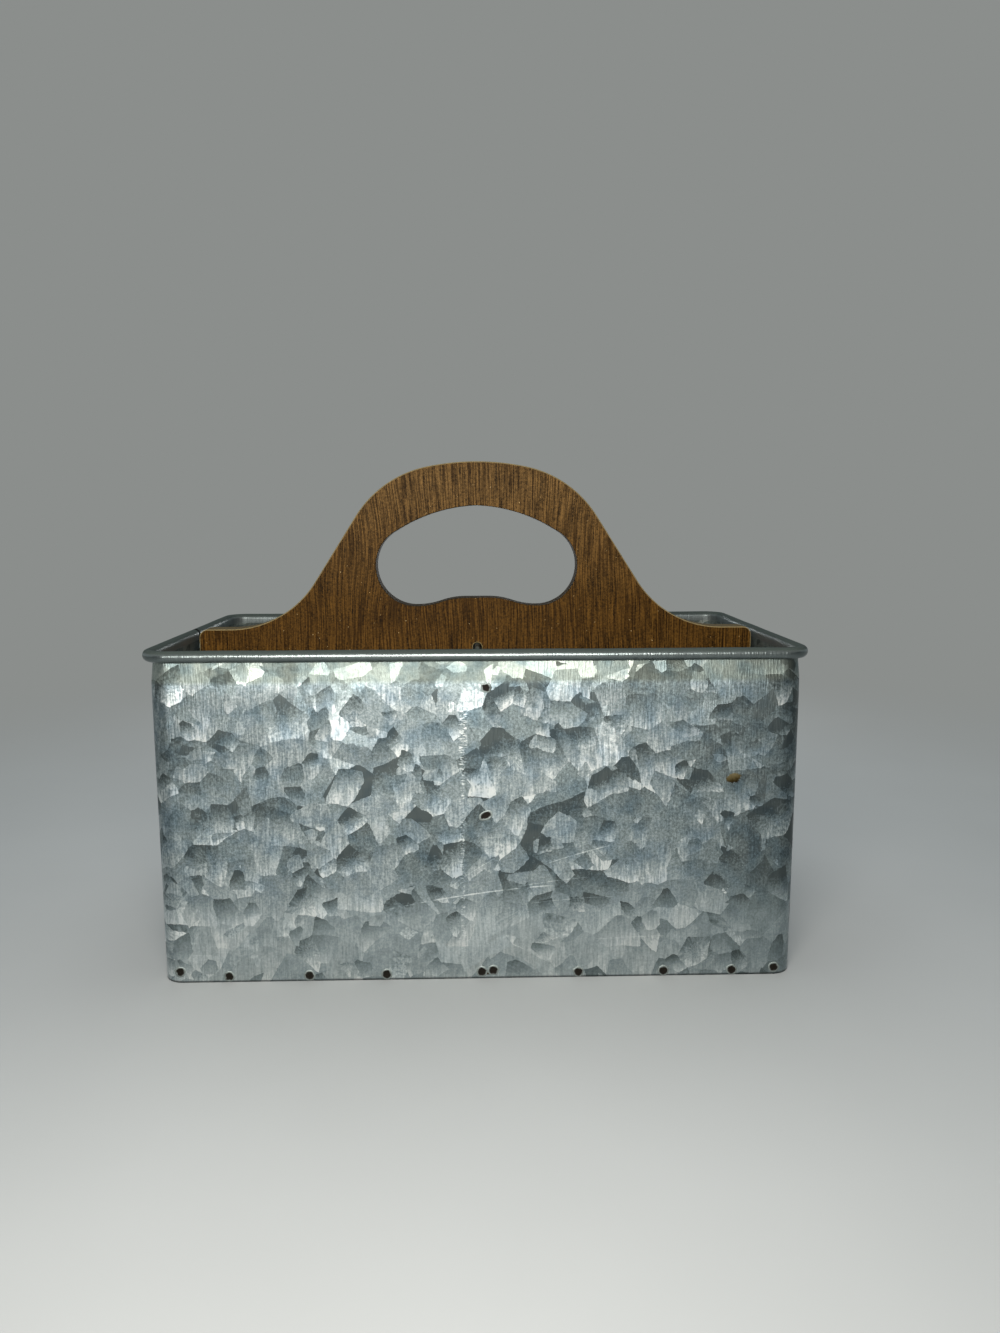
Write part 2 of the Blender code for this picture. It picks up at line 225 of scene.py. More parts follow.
spangleLook = {
    # Size of the grains in each layer, and the share of them that covers the layer below.
    "grains": ((28 * mm, 1.0), (22 * mm, 0.5), (16 * mm, 0.42), (10.5 * mm, 0.34), (6.5 * mm, 0.14)),
    "layerShift": (0.31, 0.17, 0.23),  # moves each layer's pattern away from the last one's
    "wander": 3.6 * mm,  # how far a grain's outline bends
    "wanderSize": 22 * mm,
    "fringe": 0.45 * mm,  # fine unevenness of the outline
    "fringeSize": 1.6 * mm,
    "lineGap": 0.75 * mm,  # between the fine lines left by the rolls
    "lineRun": 7 * mm,
    "lineDepth": (0.05, 0.4),  # in dark grains and in bright ones
    "along": 2,  # the axis that the lines follow
    "cloud": 4 * mm,
    "grit": 1.1 * mm,  # frost of the frozen zinc, drawn twice as coarse as the real one
    "gritDepth": 1.05,
    "fall": (0.15, -0.25, -1.0),  # the side on which a grain is brightest
    "tilt": 0.05,  # how far a grain's own slant turns the reflection
    "tones": ((0.0, "#545c5c"), (0.3, "#7b8788"), (0.52, "#9aa5a7"), (0.74, "#bdc6c6"), (1.0, "#e6eae8")),
    "blue": "#d5e0ea",  # tints the patches where the zinc has a bluish cast
    "blueSize": 9 * mm,
    "roughness": (0.49, 0.34),  # of dark grains and of bright ones
    "quietFrom": (54 * mm, 26 * mm),  # down from here to there the grains grow paler and more alike
    "quiet": (0.6, 0.37),  # share of the contrast that is left there, and how much is added
    "neck": (0.6, 0.03),  # the same for the stretched zinc on the neck
    "neckTint": "#fbf6ea",  # which is creamier
    "calmDetail": 0.45,  # share of the lines and the frost that is left in both places
    "shadedEnd": (86 * mm, 122 * mm),  # painted shade: the front's right end grows darker from here to there
    "endShadeDepth": 0.26,
    "endShadeReach": (30 * mm, 6 * mm),  # how far behind the front's face that starts, and is full
    "footShadowTone": "#2c302f",  # painted contact shadow along the bottom of the wall
    "beadTone": "#747c7c",  # the rolled rim, rubbed smooth by the tooling, painted darker than the wall as painted shade
    "beadTopShade": "#39403c",  # painted shade on the rim's top, for the dark reflection it shows
    "slitShadeReach": 1.3 * mm,  # how far the painted shade reaches to either side of the middle of the rim's slit
    "slitShadeTone": "#060706",
    "beadRoughness": 0.28,
    "neckRoughness": 0.13,  # more than on the flat sheet
    "insideShade": 0.34,  # how much darker the inside is painted, as painted shade
    "soilRoughness": 0.14,
    "film": 0.2,  # share of the inside that a matt film covers
}


markReach = 20 * mm  # a mark on the front wall ends this far behind the wall's face


def layOnFront(add, place, x, z, turn, scale=(1, 1, 1)):
    # Coordinates centred on a mark on the front wall, and a mask that keeps it off the others.
    laid = add("Mapping", {
        "Vector": place, "Location": (x * mm, 0, z * mm), "Rotation": (0, -math.radians(turn), 0),
        "Scale": scale,
    }, vector_type="TEXTURE")
    spot = add("SeparateXYZ", {0: laid})
    front = add("Math LESS_THAN", {0: spot.outputs["Y"], 1: markReach - wallDepth})
    return laid, spot, front


def addScuff(add, place, x, z, turn, run, width=0.5, bow=0.4, bright=0.4, dashed=False):
    # A scuff on the front wall: how bright it is at each point. Sizes in mm, the turn in degrees.
    laid, spot, front = layOnFront(add, place, x, z, turn)
    along = add("Math MULTIPLY", {0: spot.outputs["X"], 1: 2 / (run * mm)})
    bend = add("Math MULTIPLY", {0: along, 1: along})
    across = add("Math MULTIPLY_ADD", {0: bend, 1: bow * mm, 2: spot.outputs["Z"]})
    across = add("Math ABSOLUTE", {0: across})
    side = add("MapRange", {"Value": across, "From": (width * mm / 2, width * mm / 8), "To": (0, bright)})
    ends = add("MapRange", {"Value": bend, "From": (1.0, 0.6)})
    mark = add("Math MULTIPLY", {0: side, 1: ends})
    mark = add("Math MULTIPLY", {0: mark, 1: front})
    # A dashed one is a column of short ticks that lie across it.
    grain = (0.55 * mm, 1.0, 2.2 * mm) if dashed else (5 * mm, 5 * mm, 5 * mm)
    wornSpace = add("VectorMath DIVIDE", {0: laid, 1: grain})
    worn = add("TexNoise", {"Vector": wornSpace, "Scale": 1.0, "Detail": 2.0})
    worn = add("MapRange", {"Value": worn, "From": (0.54, 0.62) if dashed else (0.3, 0.5)})
    return add("Math MULTIPLY", {0: mark, 1: worn})


def addStain(add, place, grit, x, z, turn, wide, high, tones):
    # A dried drop on the front wall: where it lies, and its tone from the lower edge to the upper.
    laid, spot, front = layOnFront(add, place, x, z, turn, (wide * mm / 2, 1, high * mm / 2))
    flat = add("VectorMath MULTIPLY", {0: laid, 1: (1, 0, 1)})
    away = add("VectorMath LENGTH", {0: flat})
    away = add("Math MULTIPLY_ADD", {0: grit, 1: 0.9, 2: away})
    mark = add("MapRange", {"Value": away, "From": (1.05, 0.85)})
    mark = add("Math MULTIPLY", {0: mark, 1: front})
    rise = add("Math MULTIPLY_ADD", {0: spot.outputs["Z"], 1: 0.5, 2: 0.5})
    rise = add("Math MULTIPLY_ADD", {0: grit, 1: 0.5, 2: rise})
    tone = add("ValToRGB", {"Fac": rise}, stops=tones)
    return mark, tone


rustTones = ((0.0, "#120e08"), (0.3, "#2b2413"), (0.55, "#463e28"), (1.0, "#625a42"))
soilTones = ((0.0, "#211a13"), (1.0, "#4c4233"))
frontStains = (
    {"x": 108.0, "z": 88.4, "turn": 14, "wide": 6.6, "high": 4.6, "tones": rustTones},
    {"x": 3.4, "z": 2.2, "turn": 0, "wide": 4.0, "high": 1.1, "tones": soilTones},
)
frontScuffs = (
    {"x": -4, "z": 38.2, "turn": 8, "run": 74, "width": 0.8, "bow": 1.4, "bright": 0.6},
    {"x": 38, "z": 35.5, "turn": 4.5, "run": 44, "bow": 0.6, "bright": 0.35},
    {"x": 32, "z": 43.8, "turn": 7, "run": 34, "bright": 0.3},
    {"x": 43, "z": 56, "turn": 16, "run": 30, "width": 0.6},
    {"x": -2, "z": 49, "turn": 33, "run": 26, "bright": 0.25},
    {"x": -52, "z": 78, "turn": -4, "run": 34, "width": 0.4, "bow": 0.3, "bright": 0.2},
    {"x": 66, "z": 18, "turn": 2, "run": 40, "width": 0.4, "bow": 0.2, "bright": 0.2},
    {"x": -6.6, "z": 108, "turn": 89, "run": 36, "width": 4.4, "bow": 0.3, "bright": 1.0, "dashed": True},
    {"x": -7.2, "z": 58, "turn": 90, "run": 96, "width": 2.6, "bow": 0.5, "bright": 0.6, "dashed": True},
)


def makeSpangle(name, look):
    # Hot-dip galvanized sheet: zinc crystals that overlap like scales, each with its own slant
    # and tone, blue-grey on one side and cream on the other, over fine lines from the rolls.
    material, add, shader, place = newMaterial(name)
    wander = add("TexNoise", {"Vector": place, "Scale": 1 / look["wanderSize"], "Detail": 1.0})
    fringe = add("TexNoise", {"Vector": place, "Scale": 1 / look["fringeSize"], "Detail": 2.0})
    bent = place
    for waves, amount in ((wander, look["wander"]), (fringe, look["fringe"])):
        bent = add("VectorMath MULTIPLY_ADD", {0: waves.outputs["Color"], 1: (amount * 2,) * 3, 2: bent})

    # Each layer of grains covers part of the one before.
    seed = None
    reach = None
    for index, (size, share) in enumerate(look["grains"]):
        shift = Vector(look["layerShift"]) * index
        moved = add("VectorMath ADD", {0: bent, 1: shift})
        cell = add("TexVoronoi", {"Vector": moved, "Scale": 1 / size})
        apart = add("VectorMath SUBTRACT", {0: moved, 1: cell.outputs["Position"]})
        apart = add("VectorMath MULTIPLY", {0: apart, 1: (1 / size,) * 3})
        if seed is None:
            seed = cell.outputs["Color"]
            reach = apart
            continue
        draw = add("SeparateXYZ", {0: cell.outputs["Color"]})
        shown = add("Math LESS_THAN", {0: draw.outputs["Z"], 1: share})
        seed = add("Mix VECTOR", {"Factor": shown, 4: seed, 5: cell.outputs["Color"]})
        reach = add("Mix VECTOR", {"Factor": shown, 4: reach, 5: apart})

    draw = add("SeparateXYZ", {0: seed})
    slant = add("VectorMath SUBTRACT", {0: seed, 1: (0.5, 0.5, 0.5)})
    fall = add("VectorMath MULTIPLY_ADD", {0: slant, 1: (1.1,) * 3, 2: look["fall"]})
    down = add("VectorMath DOT_PRODUCT", {0: reach, 1: fall})

    # Brightness: the grain's own level, plus its rise towards the bright side.
    rise = add("MapRange", {"Value": draw.outputs["X"], "From": (0.25, 0.95), "To": (0.05, 0.76)})
    own = add("MapRange", {"Value": draw.outputs["Y"], "To": (0.19, 0.66)})
    level = add("Math MULTIPLY_ADD", {0: down, 1: rise, 2: own})
    spot = add("SeparateXYZ", {0: place})
    height = spot.outputs["Z"]
    # Painted shade: the right end of the front is painted darker.
    endShade = add("MapRange", {"Value": spot.outputs["X"], "From": look["shadedEnd"], "To": (0, look["endShadeDepth"])})
    onFront = add("MapRange", {
        "Value": spot.outputs["Y"], "From": [reach - wallDepth for reach in look["endShadeReach"]],
    })
    endShade = add("Math MULTIPLY", {0: endShade, 1: onFront})
    level = add("Math SUBTRACT", {0: level, 1: endShade})
    quiet = add("MapRange", {"Value": height, "From": look["quietFrom"]})
    neck = add("MapRange", {"Value": height, "From": (creaseHeight - 1 * mm, creaseHeight + 1 * mm)})
    for zone, (share, extra) in ((quiet, look["quiet"]), (neck, look["neck"])):
        calm = add("Math MULTIPLY_ADD", {0: level, 1: share, 2: extra})
        level = add("Mix FLOAT", {"Factor": zone, 2: level, 3: calm})
    smoothed = add("Math MAXIMUM", {0: quiet, 1: neck})
    detail = add("MapRange", {"Value": smoothed, "To": (1.0, look["calmDetail"])})

    # Lines from the rolls, clearest on bright zinc, and feathery growth in a few grains.
    lineScale = [1 / look["lineGap"]] * 3
    lineScale[look["along"]] = 1 / look["lineRun"]
    lineSpace = add("VectorMath MULTIPLY", {0: place, 1: lineScale})
    lines = add("TexNoise", {"Vector": lineSpace, "Scale": 1.0, "Detail": 1.5, "Roughness": 0.5})
    lines = add("MapRange", {"Value": lines, "From": (0.42, 0.58), "To": (-0.5, 0.5)})
    lineDepth = add("MapRange", {"Value": level, "From": (0.4, 0.85), "To": look["lineDepth"]})
    lineDepth = add("Math MULTIPLY", {0: lineDepth, 1: detail})
    ray = add("VectorMath NORMALIZE", {0: reach})
    feather = add("TexNoise", {"Vector": ray, "Scale": 7.0, "Detail": 2.0})
    feathered = add("MapRange", {"Value": draw.outputs["X"], "From": (0.8, 0.84), "To": (0, 0.8)})

    # Cloudiness and frost, all over.
    cloud = add("TexNoise", {"Vector": place, "Scale": 1 / look["cloud"], "Detail": 3.0, "Roughness": 0.6})
    grit = add("TexNoise", {"Vector": place, "Scale": 1 / look["grit"], "Detail": 2.0, "Roughness": 0.8})
    feather, cloud, grit = [
        add("Math SUBTRACT", {0: waves, 1: 0.5}) for waves in (feather, cloud, grit)
    ]
    frost = add("Math MULTIPLY", {0: detail, 1: look["gritDepth"]})
    for waves, depth in ((lines, lineDepth), (feather, feathered), (cloud, 0.3), (grit, frost)):
        level = add("Math MULTIPLY_ADD", {0: waves, 1: depth, 2: level})
    for scuff in look.get("scuffs", ()):
        mark = addScuff(add, place, **scuff)
        level = add("Math ADD", {0: level, 1: mark})
    tone = add("ValToRGB", {"Fac": level}, stops=look["tones"])
    cast = add("TexNoise", {"Vector": bent, "Scale": 1 / look["blueSize"], "Detail": 2.0})
    cast = add("MapRange", {"Value": cast, "From": (0.42, 0.68)})
    plain = add("MapRange", {"Value": quiet, "To": (1.0, 0.2)})
    cast = add("Math MULTIPLY", {0: cast, 1: plain})
    for zone, tint in ((cast, look["blue"]), (neck, look["neckTint"])):
        tone = add("Mix RGBA", {"Factor": zone, 6: tone, 7: tint}, blend_type="MULTIPLY")
    inside = add("Attribute", attribute_name="inside").outputs["Fac"]
    # Painted shade: the inside faces are painted darker.
    insideShading = add("MapRange", {"Value": inside, "To": (1.0, 1 - look["insideShade"])})
    tone = add("VectorMath SCALE", {0: tone, "Scale": insideShading})

    # The bead is almost plain, painted darker than the wall and darker still on top as painted shade, and
    # the wall's lower edge has a painted contact shadow.
    beadFoot = rimHeight - 2 * rimRadius
    bead = add("MapRange", {
        "Value": height, "From": (beadFoot - 0.3 * mm, beadFoot + 0.3 * mm), "To": (0, 0.85),
    })
    tone = add("Mix RGBA", {"Factor": bead, 6: tone, 7: look["beadTone"]})
    # Painted shade: the bead's top is painted dark and matt.
    shadeAndStains = add("Math MULTIPLY_ADD", {0: grit, 1: 0.8 * mm, 2: height})
    shadeAndStains = add("MapRange", {
        "Value": shadeAndStains, "From": (rimHeight - 2.3 * mm, rimHeight - 1.1 * mm), "To": (0, 0.92),
    })
    tone = add("Mix RGBA", {"Factor": shadeAndStains, 6: tone, 7: look["beadTopShade"]})
    # The slit where the rim's two ends meet, on the left side, is painted near black: painted shade in the
    # gap.
    slitShade = add("Math SUBTRACT", {0: spot.outputs["Y"], 1: seamPlace})
    slitShade = add("Math ABSOLUTE", {0: slitShade})
    slitShade = add("MapRange", {"Value": slitShade, "From": (look["slitShadeReach"] + 0.4 * mm, look["slitShadeReach"])})
    left = add("Math LESS_THAN", {0: spot.outputs["X"], 1: 0.0})
    for mask in (left, bead):
        slitShade = add("Math MULTIPLY", {0: slitShade, 1: mask})
    tone = add("Mix RGBA", {"Factor": slitShade, 6: tone, 7: look["slitShadeTone"]})
    shadeAndStains = add("Math MAXIMUM", {0: shadeAndStains, 1: slitShade})
    for stain in look.get("stains", ()):
        mark, stainTone = addStain(add, place, grit, **stain)
        tone = add("Mix RGBA", {"Factor": mark, 6: tone, 7: stainTone})
        shadeAndStains = add("Math MAXIMUM", {0: shadeAndStains, 1: mark})
    # Painted shadow: the wall is darkened towards its lower edge, where it meets the floor.
    foot = add("MapRange", {"Value": height, "From": (1.1 * mm, 0.4 * mm), "To": (0, 0.8)})
    tone = add("Mix RGBA", {"Factor": foot, 6: tone, 7: look["footShadowTone"]})

    rough = add("MapRange", {"Value": draw.outputs["Y"], "To": look["roughness"]})
    rough = add("Mix FLOAT", {"Factor": bead, 2: rough, 3: look["beadRoughness"]})
    bare = add("Math SUBTRACT", {0: neck, 1: bead})
    for zone, extra in ((inside, look["soilRoughness"]), (bare, look["neckRoughness"])):
        rough = add("Math MULTIPLY_ADD", {0: zone, 1: extra, 2: rough})
    film = add("Math MULTIPLY", {0: inside, 1: look["film"]})
    film = add("Math MAXIMUM", {0: film, 1: shadeAndStains})
    metal = add("Math SUBTRACT", {0: 1.0, 1: film})
    bump = add("Bump", {"Height": lines, "Strength": 0.4, "Distance": 0.08 * mm})
    tilt = add("MapRange", {"Value": neck, "To": (look["tilt"] * 2, look["tilt"] * 0.5)})
    turned = add("VectorMath MULTIPLY_ADD", {0: slant, 1: tilt, 2: bump})
    turned = add("VectorMath NORMALIZE", {0: turned})
    fillSockets(shader, {
        "Base Color": tone, "Roughness": rough, "Metallic": metal, "Normal": turned,
        "Specular IOR Level": 0.0,  # painted shade, stains and film are quite matt
    })
    return material


boardLook = {
    "ground": ("#483110", "#5c4525"),  # at the foot of the board and at its crown; the lighter crown is painted light
    "foot": 158 * mm,
    "crown": 212 * mm,
    "pore": "#241503",
    "poreSize": (0.78 * mm, 34 * mm),  # across and along the grain
    "fibre": (0.54 * mm, 16 * mm),  # finer lines between the pores
    "band": (5 * mm, 50 * mm),  # broad soft bands
    "grit": 0.8 * mm,  # the film's fine speckle
    "weights": (2.6, 3.4),  # of the speckle and the fibres beside the bands
    "contrast": ((2.7, 4.3), (0.16, 1.76)),  # turns their sum into a brightness
    "fleck": "#b09669",
    "fleckSpacing": 3.4 * mm,
    "fleckRadius": 0.22 * mm,
    # painted shade: the hand hole's edge is darker than the outer edge, for the shade under the grip
    "shadedHoleEdge": ("#1f180b", "#382d1a"),
    "outerEdge": ("#41361f", "#62553a"),
    "arris": ("#66583a", "#8b7c58"),
}


def makeWoodFilm(name, look):
    # Walnut-look film on fibreboard, printed and embossed: fine dark upright pores, a speckled
    # olive-brown ground with a few tan flecks, and a soft sheen.
    material, add, shader, place = newMaterial(name)
    drift = add("TexNoise", {"Vector": place, "Scale": 1 / (70 * mm), "Detail": 1.0})
    bent = add("VectorMath MULTIPLY_ADD", {0: drift.outputs["Color"], 1: (13 * mm, 0, 0), 2: place})
    streaks = []
    for gap, run in (look["band"], look["fibre"], look["poreSize"]):
        space = add("VectorMath MULTIPLY", {0: bent, 1: (1 / gap, 1, 1 / run)})
        streaks.append(add("TexNoise", {"Vector": space, "Scale": 1.0, "Detail": 1.0}))
    bands, fibres, pores = streaks
    grit = add("TexNoise", {"Vector": place, "Scale": 1 / look["grit"], "Detail": 2.0, "Roughness": 0.7})
    level = bands
    for waves, weight in zip((grit, fibres), look["weights"]):
        level = add("Math MULTIPLY_ADD", {0: waves, 1: weight, 2: level})
    level = add("MapRange", {"Value": level, "From": look["contrast"][0], "To": look["contrast"][1]})
    height = add("SeparateXYZ", {0: place}).outputs["Z"]
    # Painted light: the ground is painted lighter towards the crown.
    crownLight = add("MapRange", {"Value": height, "From": (look["foot"], look["crown"])})
    tone = add("Mix RGBA", {"Factor": crownLight, 6: look["ground"][0], 7: look["ground"][1]})
    tone = add("VectorMath SCALE", {0: tone, "Scale": level})

    # Wherever the stretched noise runs low there is a pore.
    pores = add("Math MULTIPLY_ADD", {0: grit, 1: 0.06, 2: pores})
    pores = add("MapRange", {"Value": pores, "From": (0.52, 0.45), "To": (0, 0.6)})
    tone = add("Mix RGBA", {"Factor": pores, 6: tone, 7: look["pore"]})

    # Tan flecks, one in some of the cells of an even scatter.
    scatter = add("TexVoronoi", {"Vector": place, "Scale": 1 / look["fleckSpacing"]})
    near = add("Math LESS_THAN", {
        0: scatter.outputs["Distance"], 1: look["fleckRadius"] / look["fleckSpacing"],
    })
    draw = add("SeparateXYZ", {0: scatter.outputs["Color"]})
    fleck = add("Math MULTIPLY", {0: draw.outputs["X"], 1: near})
    tone = add("Mix RGBA", {"Factor": fleck, 6: tone, 7: look["fleck"]})
    relief = add("Math SUBTRACT", {0: grit, 1: pores})
    bump = add("Bump", {"Height": relief, "Strength": 0.4, "Distance": 0.1 * mm})
    fillSockets(shader, {
        "Base Color": tone, "Normal": bump, "Roughness": 0.5, "IOR": 1.45, "Specular IOR Level": 0.04,
    })
    return material


def makeCutEdge(name, tones):
    # Sawn fibreboard sealed with a stain: matt, faintly fibrous.
    material, add, shader, place = newMaterial(name)
    grit = add("TexNoise", {"Vector": place, "Scale": 1 / (0.8 * mm), "Detail": 3.0})
    tone = add("Mix RGBA", {"Factor": grit, 6: tones[0], 7: tones[1]})
    bump = add("Bump", {"Height": grit, "Strength": 0.3, "Distance": 0.1 * mm})
    fillSockets(shader, {
        "Base Color": tone, "Normal": bump, "Roughness": 0.9, "Specular IOR Level": 0.08,
    })
    return material


def makeBurntZinc(name):
    # Zinc burnt off at a spot weld: a grey ring round a rusty dark pit, by the piece's attribute.
    material, add, shader, place = newMaterial(name)
    depth = add("Attribute", attribute_name="pit").outputs["Fac"]
    grit = add("TexNoise", {"Vector": place, "Scale": 1 / (0.7 * mm), "Detail": 3.0})
    pit = add("Mix RGBA", {"Factor": grit, 6: "#070705", 7: "#1e1a14"})
    tone = add("Mix RGBA", {"Factor": depth, 6: "#8b9491", 7: pit})
    metal = add("Math SUBTRACT", {0: 1.0, 1: depth})
    bump = add("Bump", {"Height": grit, "Strength": 0.5, "Distance": 0.2 * mm})
    fillSockets(shader, {
        "Base Color": tone, "Metallic": metal, "Normal": bump,
        "Roughness": 0.6, "Specular IOR Level": 0.1,
    })
    return material


def makePlainMetal(name, low, high, roughness, grain):
    # Drawn or plated steel: a thin bright zinc coat with faint cloudy patches.
    material, add, shader, place = newMaterial(name)
    cloud = add("TexNoise", {"Vector": place, "Scale": 1 / grain, "Detail": 4.0})
    tone = add("Mix RGBA", {"Factor": cloud, 6: low, 7: high})
    rough = add("MapRange", {"Value": cloud, "To": (roughness - 0.08, roughness + 0.08)})
    fillSockets(shader, {"Base Color": tone, "Roughness": rough, "Metallic": 1.0})
    return material


# Wall band

wallLook = {
    "cornerRadius": 9 * mm,
    "cornerSteps": 36,
    "longSteps": 56,
    "shortSteps": 16,
    "wallRows": 16,
    "curlEnd": math.radians(-120),
    "curlSteps": 30,
    "seamSlit": 1.8 * mm,
    "joggle": 2.5 * mm,
    "lap": 10 * mm,
    "notch": 1.5 * mm,
    "rimWave": 0.25 * mm,  # how unevenly the rim was rolled, always inwards
    "waveLength": 38 * mm,
    "panelBulge": 0.3 * mm,
    "bulgeRise": (12 * mm, 60 * mm),
    "bulgeFall": (80 * mm, 125 * mm),
    "neckRows": 4,
    "flutes": 7,  # wrinkles in the neck round each corner, where the leaning sheet was gathered
    "fluteDepth": 0.13 * mm,
}


def rollUneven(verts, look):
    # The rim was rolled by hand-fed tooling, so it wavers a little; the walls belly out slightly.
    for vert in verts:
        weight = smooth(vert.co.z, creaseHeight - 8 * mm, creaseHeight + 4 * mm)
        belly = smooth(vert.co.z, *look["bulgeRise"]) * (1 - smooth(vert.co.z, *look["bulgeFall"]))
        spot = Vector((vert.co.x, vert.co.y, 0)) / look["waveLength"]
        for axis, half in ((0, wallLength), (1, wallDepth)):
            nearSide = smooth(abs(vert.co[axis]), half - 3 * look["cornerRadius"], half - fitGap)
            pull = (0.5 + 0.5 * noise.noise(spot + Vector((7, 3, axis * 5)))) * look["rimWave"]
            swell = max(noise.noise(spot * 0.6 + Vector((1, 9, axis * 4))), 0) * look["panelBulge"]
            change = (belly * swell - weight * pull) * nearSide
            vert.co[axis] += change * math.copysign(1, vert.co[axis])
        dip = (0.5 + 0.5 * noise.noise(spot * 1.3 + Vector((2, 8, 6)))) * look["rimWave"]
        vert.co.z -= dip * weight
        radius = look["cornerRadius"]
        past = Vector((abs(vert.co.x) - wallLength + radius, abs(vert.co.y) - wallDepth + radius))
        onNeck = smooth(vert.co.z, creaseHeight, creaseHeight + 4 * mm) * (vert.co.z < wireHeight)
        if min(past) > 0 and onNeck and past.length < radius + fitGap:
            angle = math.atan2(past.y, past.x)
            wave = math.sin(angle * 4 * look["flutes"]) * math.sin(2 * angle) ** 0.5
            wave *= look["fluteDepth"] * onNeck
            vert.co.x += math.copysign(wave * math.cos(angle), vert.co.x)
            vert.co.y += math.copysign(wave * math.sin(angle), vert.co.y)


def bandSection(bm, y, look):
    def put(outset, z):
        return bm.verts.new((-wallLength - outset, y, z))

    rows = look["wallRows"]
    heights = [floorHeight + (creaseHeight - floorHeight) * row / rows for row in range(rows + 1)]
    outer = [put(0, z) for z in [0, *heights]]
    inner = [put(-sheetThickness, z) for z in [0, *heights]]
    centre = (wireOutset, wireHeight)
    curl = look["curlSteps"]
    inside = arcPoints(centre, rimRadius - sheetThickness, math.pi, look["curlEnd"], curl)
    outside = arcPoints(centre, rimRadius, look["curlEnd"], math.pi, curl)
    fold = [put(*point) for point in inside + outside]
    lean = [step / look["neckRows"] for step in range(1, look["neckRows"])]
    neck = [(neckLean * share, creaseHeight + (wireHeight - creaseHeight) * share) for share in lean]
    neckOuter = [put(-inset, z) for inset, z in neck]
    neckInner = [put(-sheetThickness - inset, z) for inset, z in reversed(neck)]
    foot = bm.faces.new((outer[0], outer[1], inner[1], inner[0]))
    wall = bm.faces.new((*outer[1:], *reversed(inner[1:])))
    rim = bm.faces.new((outer[-1], *neckOuter, *fold, *neckInner, inner[-1]))
    return [foot, wall, rim]


def makeWallSheet(look, materials):
    bm = bmesh.new()
    outerEnd = seamPlace + look["seamSlit"] / 2
    innerEnd = seamPlace - look["seamSlit"] / 2
    faces = bandSection(bm, outerEnd, look)
    half = (wallLength, wallDepth)
    faces = sweepRound(bm, faces, half, look["cornerRadius"], outerEnd, innerEnd - look["joggle"], look)
    foot, wall, rim = sorted(faces, key=lambda face: face.calc_center_median().z)
    for part in (foot, rim):
        pushFaces(bm, [part], (0, look["joggle"], 0), 2)
    tail = pushFaces(bm, [wall], (sheetThickness + fitGap, look["joggle"], 0))
    middle = tail[0].calc_center_median().z
    top = max(vert.co.z for vert in tail[0].verts)
    low = min(vert.co.z for vert in tail[0].verts)
    for vert in tail[0].verts:
        if vert.co.z in (top, low):
            vert.co.z += math.copysign(look["notch"], middle - vert.co.z)
    pushFaces(bm, tail, (0, look["seamSlit"] + look["lap"], 0), 3)
    markInside(bm)
    rollUneven(bm.verts, look)
    return finishPiece("wallSheet", bm, materials, ["wall_band"])


def makeRimWire(look, materials):
    # The wire's ends stop well short of the slit in the rim, which therefore shows dark.
    reach = 3 * look["seamSlit"]
    bm = bmesh.new()
    bmesh.ops.create_circle(bm, cap_ends=True, segments=20, radius=wireRadius)
    bmesh.ops.transform(bm, matrix=Matrix.Rotation(up, 4, "X"), verts=bm.verts)
    start = seamPlace + reach
    bmesh.ops.translate(bm, vec=(-wallLength - wireOutset, start, wireHeight), verts=bm.verts)
    half = (wallLength + wireOutset, wallDepth + wireOutset)
    radius = look["cornerRadius"] + wireOutset
    sweepRound(bm, list(bm.faces), half, radius, start, seamPlace - reach, look)
    rollUneven(bm.verts, look)
    return finishPiece("rimWire", bm, materials, ["rim_wire"])


# Base pan

panLook = {
    "bend": 1.2 * mm,
    "bendSteps": 6,
    "cornerSteps": 16,
}


def makeBasePan(look, materials):
    inset = sheetThickness + fitGap
    radius = wallLook["cornerRadius"] - inset
    x = wallLength - inset - radius
    y = wallDepth - inset - radius
    outline = []
    for quarter, centre in enumerate([(x, y), (-x, y), (-x, -y), (x, -y)]):
        outline += arcPoints(centre, radius, quarter * up, quarter * up + up, look["cornerSteps"])
    bm = bmesh.new()
    bottom = bm.faces.new([bm.verts.new((*point, panLow.z)) for point in outline])
    top = pushFaces(bm, [bottom], (0, 0, panHigh.z - panLow.z))[0]
    bmesh.ops.bevel(
        bm, geom=list(top.edges), offset=look["bend"], segments=look["bendSteps"],
        profile=0.5, affect="EDGES", material=-1,
    )
    lowest = min(bm.faces, key=lambda face: face.calc_center_median().z)
    bmesh.ops.delete(bm, geom=[lowest], context="FACES_ONLY")
    pan = finishPiece("basePan", bm, materials, ["base_pan"])
    shell = pan.modifiers.new("Sheet", "SOLIDIFY")
    shell.thickness = sheetThickness
    shell.offset = -1
    shell.use_even_offset = True
    return pan


# Cross divider

dividerLook = {
    "hemWidth": 2.2 * mm,
    "hemLeg": 8 * mm,
    "hemSteps": 14,
    "flangeReach": 11 * mm,
    "bend": 0.6 * mm,
    "bendSteps": 8,
}


